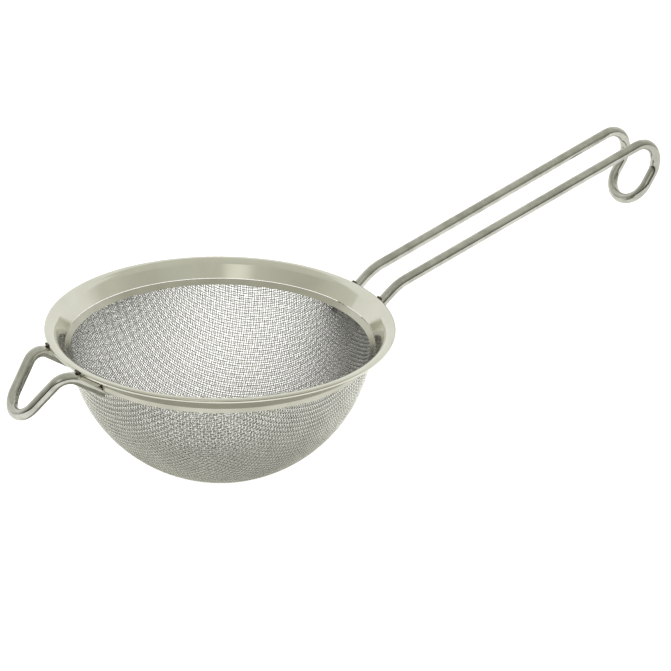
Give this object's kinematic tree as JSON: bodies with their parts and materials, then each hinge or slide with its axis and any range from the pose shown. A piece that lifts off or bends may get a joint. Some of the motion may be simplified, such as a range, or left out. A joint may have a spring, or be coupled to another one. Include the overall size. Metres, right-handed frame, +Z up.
{
  "type": "double sieve strainer",
  "caption": "Hand-held round-bottomed strainer with two layers of steel wire cloth, a flared sheet rim, a hairpin wire handle with a curled end and a wire rest hook.",
  "frame": {"origin": "on the bowl's axis, at the height of the top of the rim's rolled edge", "axes": "+Z up along the bowl's axis, +X towards the handle's curled end, so the rest hook points along -X; the object is the same on both sides of the XZ plane"},
  "size_m": [0.408, 0.185, 0.1496],
  "materials": {
    "polished_sheet": "polished stainless steel sheet",
    "polished_wire": "polished stainless steel wire",
    "woven_cloth": "plain-woven stainless steel wire cloth",
    "weld": "dark weld metal"
  },
  "bodies": {
    "root": {"rim_flange": "polished_sheet", "hem_ring": "polished_sheet", "fine_cloth": "woven_cloth", "coarse_cloth": "woven_cloth", "handle_wire": "polished_wire", "rest_hook": "polished_wire", "handle_weld_left": "weld", "handle_weld_right": "weld", "hook_weld_left": "weld", "hook_weld_right": "weld"}
  },
  "joints": []
}
